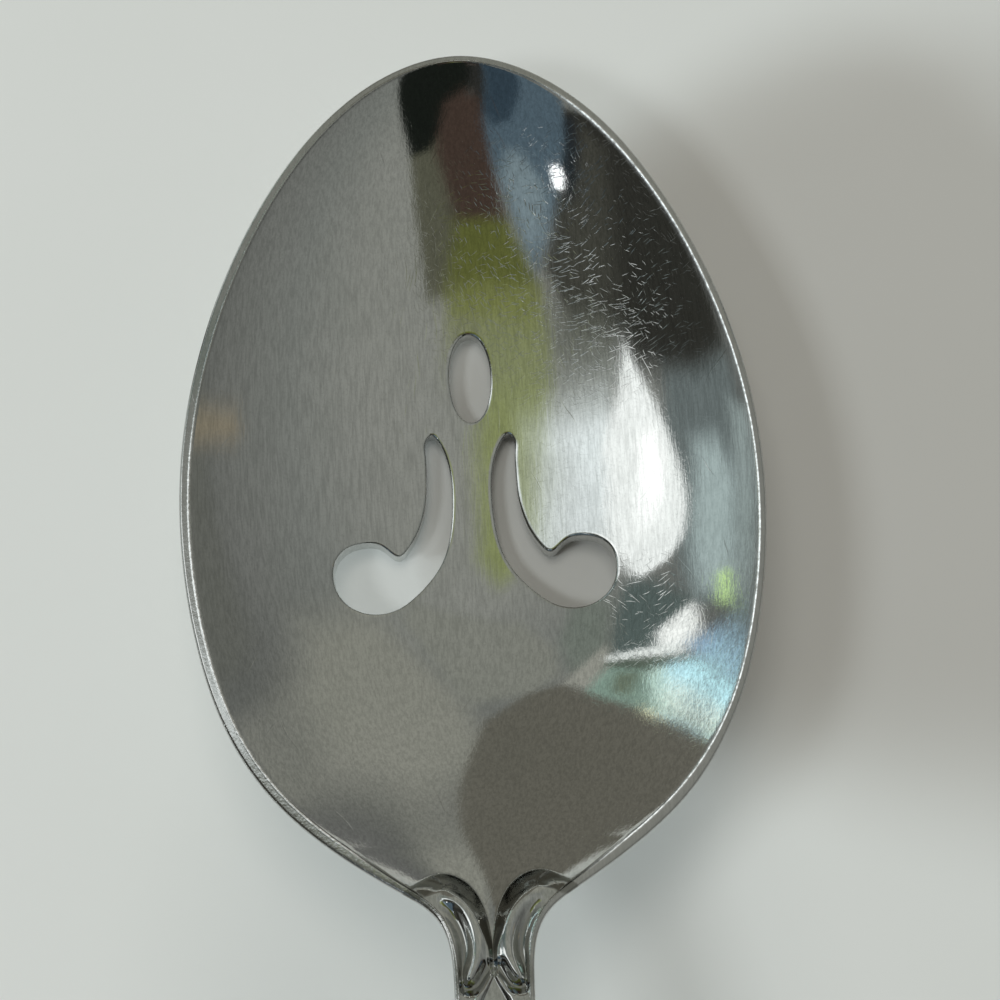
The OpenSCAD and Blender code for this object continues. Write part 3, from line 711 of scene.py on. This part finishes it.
DOME = (0.155, 0.146, 0.128)  # what lights the table evenly
ROOM = [  # name, corners, colour, edge softness; painted in this order
    ("floor", [(44, 52), (42, 66), (50, 78), (62, 83), (76, 81), (86, 76), (93, 66), (82, 56), (69, 46), (54, 42)],
     (0.354, 0.354, 0.307), 0.07),
    ("near_edge", [(12, 74), (20, 70.5), (28, 69.5), (36, 71.5), (41, 77), (47, 79.5), (52, 86), (40, 96), (12, 96)],
     (0.178, 0.182, 0.163), 0.03),
    ("middle", [(55, 41), (69.4, 46.3), (82.6, 56.1), (91.5, 63.4), (106, 59.3), (115, 62), (119, 50), (112, 36),
     (80, 30), (55, 34)], (0.313, 0.319, 0.28), 0.02),
    ("warm_side", [(14.7, 80), (18.4, 79.5), (19.8, 66.5), (18.8, 64.9), (16.3, 66.3)], (0.324, 0.28, 0.204), 0.03),
    ("low_wall", [(90.8, 63.4), (105.8, 59), (115.1, 61.4), (125.1, 78.7), (125, 92), (100, 100), (80, 92),
     (84, 76.5)], (0.178, 0.17, 0.141), 0.008),
    ("low_shade", [(131.9, 43.1), (121.3, 49.3), (118.7, 59.6), (120.1, 64.8), (127.8, 64.8), (136.6, 53.6)],
     (0.235, 0.265, 0.231), 0.03),
    ("right_wall", [(161, 78.5), (168.3, 75.5), (164.6, 54.7), (157.6, 54.1), (143.5, 68.2), (141.1, 75.2),
     (143.5, 81.8), (153.1, 81.6)], (0.199, 0.235, 0.235), 0.02),
    ("right_pale", [(156.7, 63), (147.8, 66.9), (142.6, 74.1), (143.8, 79.1), (147, 78.9), (154.5, 75.7),
     (158.4, 69.6)], (0.57, 0.688, 0.688), 0.03),
    ("right_rim", [(162.2, 79.7), (162.9, 74.2), (144.2, 80.6), (143.9, 81.9), (147.8, 82.7), (153.1, 81.6)],
     (0.41, 0.486, 0.479), 0.02),
    ("dark_wall", [(204.7, 72.3), (211.2, 60.2), (163.3, 23.5), (154.6, 29.2), (165.8, 66.7), (168.2, 75.3),
     (180, 77.1), (192.6, 77.8)], (0.04, 0.04, 0.034), 0.02),
    ("dark_soft", [(197.3, 64), (203.7, 62), (190.9, 32.9), (163.2, 24.4), (154, 27.7), (161, 37.1), (167.5, 44.5)],
     (0.08, 0.08, 0.066), 0.055),
    ("dark_foot", [(157.6, 38), (162.2, 41.1), (162, 37.5), (148.1, 23), (145.1, 22.8), (146.9, 25.9)],
     (0.182, 0.191, 0.159), 0.03),
    ("black_strip", [(191.7, 36.1), (189.4, 39.3), (197.9, 50.7), (207.1, 62.5), (210.3, 54.8), (203.4, 44.3)],
     (0.029, 0.035, 0.039), 0.02),
    ("olive_strip", [(109.4, 11.6), (247.5, 30.9), (282, 29.9), (313.5, 24.9), (48.3, 14.1)],
     (0.134, 0.134, 0.096), 0.012),
    ("black_corner", [(303.1, 69.6), (315.5, 23.1), (299, 20.1), (259.8, 37.1), (254.5, 48.6), (296.2, 77.5)],
     (0.013, 0.016, 0.013), 0.012),
    ("green_low", [(221.1, 7.8), (294.9, 3.8), (63.8, 9.3), (98.2, 10.5), (146.7, 19.7), (153.7, 22), (195.4, 13.8)],
     (0.148, 0.163, 0.047), 0.025),
    ("green", [(66.8, 10.5), (71.7, 13.5), (136.8, 19.8), (145.1, 22.8), (153.7, 22), (138.4, 14), (100, 9.3)],
     (0.24, 0.265, 0.08), 0.025),
    ("green_pale", [(91.8, 18.8), (105.8, 24.2), (134.3, 26.3), (145.4, 23), (110.7, 14.1), (99.3, 15.6)],
     (0.336, 0.378, 0.163), 0.03),
    ("umber", [(259, 26.6), (236.2, 20.2), (238.2, 26.5), (247.5, 65.8), (261.7, 42.9)],
     (0.035, 0.035, 0.032), 0.012),
    ("brick", [(295.1, 3.2), (190.6, 13.6), (255, 34.3), (265.3, 36), (277.4, 32.6), (293.4, 19)],
     (0.078, 0.053, 0.042), 0.02),
    ("blue", [(253.1, 50.8), (249.4, 27.7), (229.4, 17.2), (157.9, 20.9), (202.6, 46.1), (212.4, 63.5),
     (230.1, 64.3)], (0.114, 0.166, 0.208), 0.015),
    ("navy", [(250.6, 31), (242.3, 27.3), (230.8, 33.3), (229.4, 50.5), (237, 63.1), (252.4, 49.7)],
     (0.046, 0.073, 0.099), 0.02),
    ("sky_blue", [(218.9, 17.3), (166.3, 19.6), (178, 24.6), (195.4, 30.5), (214.5, 27.4), (224.7, 23.8)],
     (0.27, 0.348, 0.385), 0.03),
    ("halo_left", [(133.9, 27.5), (133.8, 24.4), (123.3, 21.3), (122, 22.1)], (0.828, 0.91, 0.742), 0.035),
    ("halo_top", [(136.1, 24.9), (137.9, 27.2), (149.5, 35.9), (158.5, 39.7), (143.5, 26.1)],
     (0.508, 0.546, 0.508), 0.035),
    ("halo", [(144.1, 46.8), (153, 37.2), (136, 25.4), (130.7, 25.7)], (1.217, 1.306, 1.319), 0.035),
    ("mottle", [(140.6, 53.8), (127.7, 65), (132.1, 72.9), (135.3, 73.9), (141.5, 74.9), (142.4, 61.8)],
     (0.134, 0.174, 0.166), 0.015),
    ("beige", [(121, 68.9), (127.4, 65.4), (129.2, 61), (115.2, 61.2)], (0.437, 0.437, 0.385), 0.01),
    ("sea_green", [(125.7, 79.3), (132.2, 75.9), (125.6, 66), (119, 67), (120.5, 70.3)],
     (0.324, 0.458, 0.385), 0.006),
    ("pale_blue_a", [(125.5, 79.1), (126.1, 79.8), (135.9, 78.9), (131.8, 75.5)], (0.858, 1.345, 1.508), 0.008),
    ("pale_blue_b", [(126.1, 79.8), (141.8, 81.3), (138.1, 79.3), (132.6, 78), (126.6, 78.1)],
     (0.941, 1.522, 1.667), 0.008),
    ("white_a", [(139.9, 75.7), (141.2, 73.6), (135.5, 70), (133.4, 72.9), (134.3, 76.3), (138.5, 77.1)],
     (1.452, 1.48, 1.452), 0.005),
    ("white_b", [(125.9, 65.6), (129.4, 71.9), (134.3, 76.3), (136.4, 76.5), (127.2, 63.8)],
     (1.217, 1.268, 1.242), 0.004),
    ("cream", [(126.4, 78.8), (126.2, 79.7), (128.1, 79.3), (131.9, 78.5), (130.3, 77.9)],
     (1.452, 1.398, 1.097), 0.006),
    ("blue_grey", [(141.5, 81.1), (136.2, 76.7), (135.2, 78.9)], (0.385, 0.586, 0.818), 0.008),
    ("gem", [(128.6, 72.7), (126, 69), (123, 71.1), (124.6, 74.2)], (0.212, 0.26, 0.191), 0.006),
    ("column", [(132.1, 75.6), (130.4, 73.3), (125.7, 78.4), (126.4, 79.5)], (0.858, 1.133, 1.017), 0.006),
    ("under_streak", [(135.2, 78.3), (126, 64.2), (125.3, 66), (129.9, 73.8), (135, 78.5)],
     (0.134, 0.17, 0.134), 0.003),
    ("green_glint", [(145.8, 78.3), (145.4, 76.3), (141.9, 78.9), (143.1, 79.8)], (0.91, 1.293, 0.508), 0.006),
    ("yellow_glint", [(124.3, 78.7), (125.5, 78.2), (125.5, 77.3), (124.3, 77.4)], (1.452, 1.452, 0.963), 0.004),
    ("window_top", [(156.1, 55.4), (159.6, 51.3), (163.1, 43.5), (147.8, 37.4), (152, 47.4)],
     (1.398, 1.439, 1.425), 0.005),
    ("window", [(148.3, 64.6), (151.6, 62.7), (156.1, 55.4), (147.8, 37.4), (145.5, 37.3), (142.1, 54), (142.2, 58.1),
     (145.4, 62.9)], (1.398, 1.439, 1.425), 0.005),
    ("window_core", [(152.7, 54.1), (154.9, 50.6), (152.7, 47.5), (149.9, 48.1), (148.7, 50.2), (148.4, 53.2),
     (149.9, 55.1)], (2.1, 2.1, 2.1), 0.03),
    ("lamp_glint", [(196.1, 39.2), (199.8, 39.7), (200.8, 36.2), (194.8, 33.6), (193.3, 36.1)],
     (3.0, 3.05, 3.1), 0.005),
]
grade = w.new("ValToRGB")
w.feed(grade.inputs[0], zenith)
GRADE = [  # behind the patches, from the zenith to the horizon
    (0.0, (0.38, 0.385, 0.35)), (0.3, (0.345, 0.35, 0.32)), (0.55, (0.27, 0.28, 0.26)), (0.78, (0.22, 0.225, 0.21)),
    (0.92, (0.15, 0.155, 0.145)), (0.985, (0.2, 0.2, 0.19)), (1.0, (0.25, 0.25, 0.24)),
]
for k, (stop, tone) in enumerate(GRADE):
    part = grade.color_ramp.elements[k] if k < 2 else grade.color_ramp.elements.new(stop)
    part.position, part.color = stop, (*tone, 1)
colour = grade.outputs[0]
for _, corners, tone, soft in ROOM:
    colour = w.mix(sky(corners, soft), colour, tone)
room, dome, both = w.new("Background"), w.new("Background"), w.new("MixShader")
w.feed(room.inputs[0], colour)
dome.inputs[0].default_value = (*DOME, 1)
w.feed(both.inputs[0], w.new("LightPath").outputs["Is Diffuse Ray"])
w.feed(both.inputs[1], room.outputs[0])
w.feed(both.inputs[2], dome.outputs[0])
w.feed(w.new("OutputWorld").inputs[0], both.outputs[0])
world.cycles.sampling_method = "NONE"

# ---------------------------------------------------------------- brushed and worn stainless steel


def material(name):
    m = bpy.data.materials.new(name)
    m.use_nodes = True
    n = Nodes(m.node_tree)
    shader = n.new("BsdfPrincipled")
    n.feed(n.new("OutputMaterial").inputs[0], shader.outputs[0])
    return m, n, shader


def scratches(n, place, angle, cell, aspect, half, share, seed):
    """Depth of one layer of hairline scratches, 0 to 1: thin ellipses, aspect times longer than they are wide."""
    lie = n.new("Mapping", vector_type="TEXTURE")
    n.feed(lie.inputs["Vector"], place)
    for key, value in (("Location", (seed * 13.7, seed * 7.3, 0)), ("Rotation", (0, 0, math.radians(angle))),
                       ("Scale", (cell, cell * aspect, 1))):
        lie.inputs[key].default_value = value
    cells = n.new("TexVoronoi", voronoi_dimensions="2D")
    n.feed(cells.inputs["Vector"], lie.outputs[0])
    cells.inputs["Scale"].default_value = 1.0
    chance = n.split(cells.outputs["Color"])[0]
    groove = n.remap(cells.outputs["Distance"], 0.0, half / cell, 1.0, 0.0, smooth=True)
    return n.math("MULTIPLY", groove, n.remap(chance, share, share * 0.5))


steel, n, shader = material("brushed_stainless")
place = n.vector("SCALE", n.new("TexCoord").outputs["Object"], scale=1000.0)  # in mm
# Attributes of the steel: the rim's flat, its lip, a painted highlight line on the lip, and painted shade in the
# neck's ramps and hollows.
rim, lip, glint, painted_recess_shade = (n.new("Attribute", attribute_name=key).outputs["Fac"]
                           for key in ("rim", "lip", "glint", "painted_recess_shade"))
drawn = lambda across, down: n.vector("MULTIPLY", place, (across, down, across))
fine = n.noise(drawn(4.2, 0.4), 1.0, 3.0, 0.75)  # the grain of the polishing, along the spoon
broad = n.noise(drawn(1.3, 0.08), 1.0, 3.0, 0.6)
speck = n.noise(place, 4.5, 2.0, 0.7)
cloud = n.noise(place, 0.09, 4.0, 0.6)
wear = n.remap(cloud, 0.35, 0.65)
dents = n.noise(place, 2.6, 3.0, 0.7)
height = n.math("MULTIPLY", fine, 0.0036)
for a, b in ((broad, 0.002), (speck, 0.0007), (lip, n.math("MULTIPLY", dents, 0.04)),
             (n.math("MULTIPLY", dents, rim), 0.012)):
    height = n.math("MULTIPLY_ADD", a, b, height)
bent = n.vector("ADD", place, n.vector("SCALE", n.noise(place, 0.09, out="Color"), scale=5.0))  # bends the scratches


def spot(x, s, reach):
    """1 at a place of the top, 0 from reach on; in mm."""
    away = n.vector("LENGTH", n.vector("SUBTRACT", place, (x, TIP_Y - s, 5.0)))
    return n.remap(away, reach * 0.35, reach, 1.0, 0.0, smooth=True)


# Spoons wear most where the food and the cloth rub: short random scratches in two places, long ones in a third.
rubbed = n.math("MAXIMUM", n.math("MAXIMUM", spot(9, 18, 17), n.math("MULTIPLY", spot(13, 49.5, 6), 0.4)), 0.08)
drawn_out = n.math("MAXIMUM", spot(-6, 26, 14), 0.15)
LAYERS = [  # angle, cell width in mm, aspect, half width in mm, share of the cells, seed, depth in mm, where
    (2, 0.3, 55, 0.035, 0.7, 1, 0.005, drawn_out), (-6, 0.35, 38, 0.035, 0.7, 3, 0.005, drawn_out),
    (24, 0.9, 45, 0.04, 0.5, 4, 0.003, 1.0), (-38, 1.0, 45, 0.04, 0.5, 5, 0.003, 1.0),
    (58, 0.22, 16, 0.03, 0.7, 6, 0.006, rubbed), (-62, 0.2, 19, 0.03, 0.7, 7, 0.006, rubbed),
    (30, 0.2, 15, 0.03, 0.7, 8, 0.006, rubbed), (-84, 0.22, 17, 0.03, 0.65, 10, 0.006, rubbed),
]
marks = None
for *layer, depth, where in LAYERS:
    cut = n.math("MULTIPLY", scratches(n, bent, *layer), n.math("MULTIPLY", where, depth))
    marks = cut if marks is None else n.math("ADD", marks, cut)
bump = n.new("Bump")
bump.inputs["Strength"].default_value = 1.0
bump.inputs["Distance"].default_value = MM
n.feed(bump.inputs["Height"], n.math("SUBTRACT", height, marks))
n.feed(shader.inputs["Normal"], bump.outputs[0])
# Painted highlight: along parts of the lip the steel turns white and barely metallic, so that it shows a bright line.
painted_glint = n.math("MULTIPLY", glint, n.remap(dents, 0.35, 0.6, 0.35, 1.0))  # whitish: it scatters rather than mirrors
n.feed(shader.inputs["Metallic"], n.remap(painted_glint, 0.0, 1.0, 1.0, 0.1))
tint = n.mix(wear, (0.635, 0.65, 0.635), (0.68, 0.69, 0.68))
# Darker tones for the grain, the specks, the scratches and the rim's flat, and painted shade in the neck's ramps and
# hollows.
for share, tone in ((n.remap(fine, 0.4, 0.64, 0.0, 0.55), (0.4, 0.41, 0.4)),
                    (n.remap(speck, 0.5, 0.75, 0.0, 0.35), (0.38, 0.39, 0.38)),
                    (n.remap(marks, 0.0, 0.006, 0.0, 0.12), (0.3, 0.3, 0.29)),
                    (n.math("MULTIPLY", rim, 0.5), (0.46, 0.455, 0.44)),
                    (n.math("MULTIPLY", painted_recess_shade, 0.75), (0.2, 0.2, 0.18))):
    tint = n.mix(share, tint, tone)
n.feed(shader.inputs["Base Color"], n.mix(painted_glint, tint, (0.95, 0.97, 0.97)))
rough = n.math("MULTIPLY_ADD", wear, 0.02, n.remap(fine, 0.3, 0.7, 0.035, 0.07))
n.feed(shader.inputs["Roughness"], n.math("MULTIPLY_ADD", rim, 0.08, rough))
shader.inputs["Anisotropic"].default_value = 0.3
tangent = n.new("Tangent", direction_type="UV_MAP", uv_map="lengthwise")
n.feed(shader.inputs["Tangent"], tangent.outputs[0])
for name, ob in pieces.items():
    ob.data.materials.append(steel)
    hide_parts(name)
    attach(ob, "root")

# ---------------------------------------------------------------- table and camera
me, far = bpy.data.meshes.new("table"), 15  # metres
me.from_pydata([(-far, -far, 0), (far, -far, 0), (far, far, 0), (-far, far, 0)], [], [(0, 1, 2, 3)])
table = bpy.data.objects.new("table", me)
scene.collection.objects.link(table)
paint, n, shader = material("pale_table")
place = n.new("TexCoord").outputs["Object"]
tone = n.noise(place, 18.0, 4.0, 0.55)
n.feed(shader.inputs["Base Color"], n.mix(n.remap(tone, 0.3, 0.7), (0.672, 0.685, 0.66), (0.69, 0.7, 0.68)))
n.feed(shader.inputs["Roughness"], n.remap(n.noise(place, 300.0, 3.0, 0.6), 0.3, 0.7, 0.5, 0.62))
table.data.materials.append(paint)

# Four soft lamps and the dome give the table its light and shadow. The steel shows the patches of the room instead.
LAMPS = [  # name, azimuth, height in degrees, size in metres, power in watts, colour
    ("lamp_left", 186, 11, (0.5, 0.35), 75, (0.87, 0.965, 1.0)),
    ("lamp_high", 203, 48, (0.5, 0.4), 8.2, (0.93, 0.98, 1.0)),
    ("lamp_top", 110, 76, (1.0, 0.8), 7.4, (1.0, 0.97, 0.92)),
    ("lamp_far", 88, 8, (0.6, 0.35), 28, (1.0, 0.965, 0.9)),
]
LAMP_DISTANCE = 2.0
for name, azimuth, height, size, power, tone in LAMPS:
    lamp = bpy.data.lights.new(name, "AREA")
    lamp.shape, lamp.size, lamp.size_y, lamp.energy, lamp.color = "RECTANGLE", *size, power, tone
    ob = bpy.data.objects.new(name, lamp)
    a, h = math.radians(azimuth), math.radians(height)
    aim = Vector((math.cos(a) * math.cos(h), math.sin(a) * math.cos(h), math.sin(h)))
    ob.location = aim * LAMP_DISTANCE
    ob.rotation_euler = aim.to_track_quat("Z", "Y").to_euler()
    ob.visible_glossy = False
    scene.collection.objects.link(ob)

# The camera of the photograph: above the bowl, tipped 18 degrees towards the handle, about 230 mm away.
TILT, DIST, ROLL, PX_PER_MM = math.radians(18), 230.0, math.radians(2.7), 11.8
IMAGE_PX, SENSOR = 1000, 36
target = Vector((2.15, TIP_Y - 40.6, 6.0)) * MM
back = Vector((0, -math.sin(TILT), math.cos(TILT)))
up = Vector((0, math.cos(TILT), math.sin(TILT)))
side = up.cross(back)
right_axis = side * math.cos(ROLL) - up * math.sin(ROLL)
up_axis = side * math.sin(ROLL) + up * math.cos(ROLL)
cam = bpy.data.objects.new("camera", bpy.data.cameras.new("camera"))
scene.collection.objects.link(cam)
m = Matrix((right_axis, up_axis, back)).transposed().to_4x4()
m.translation = target + back * DIST * MM
cam.matrix_world = m
cam.data.sensor_width = SENSOR
cam.data.lens = PX_PER_MM * DIST / IMAGE_PX * SENSOR
cam.data.clip_start, cam.data.clip_end = 0.01, 20
scene.camera = cam
scene.view_settings.view_transform = "Standard"
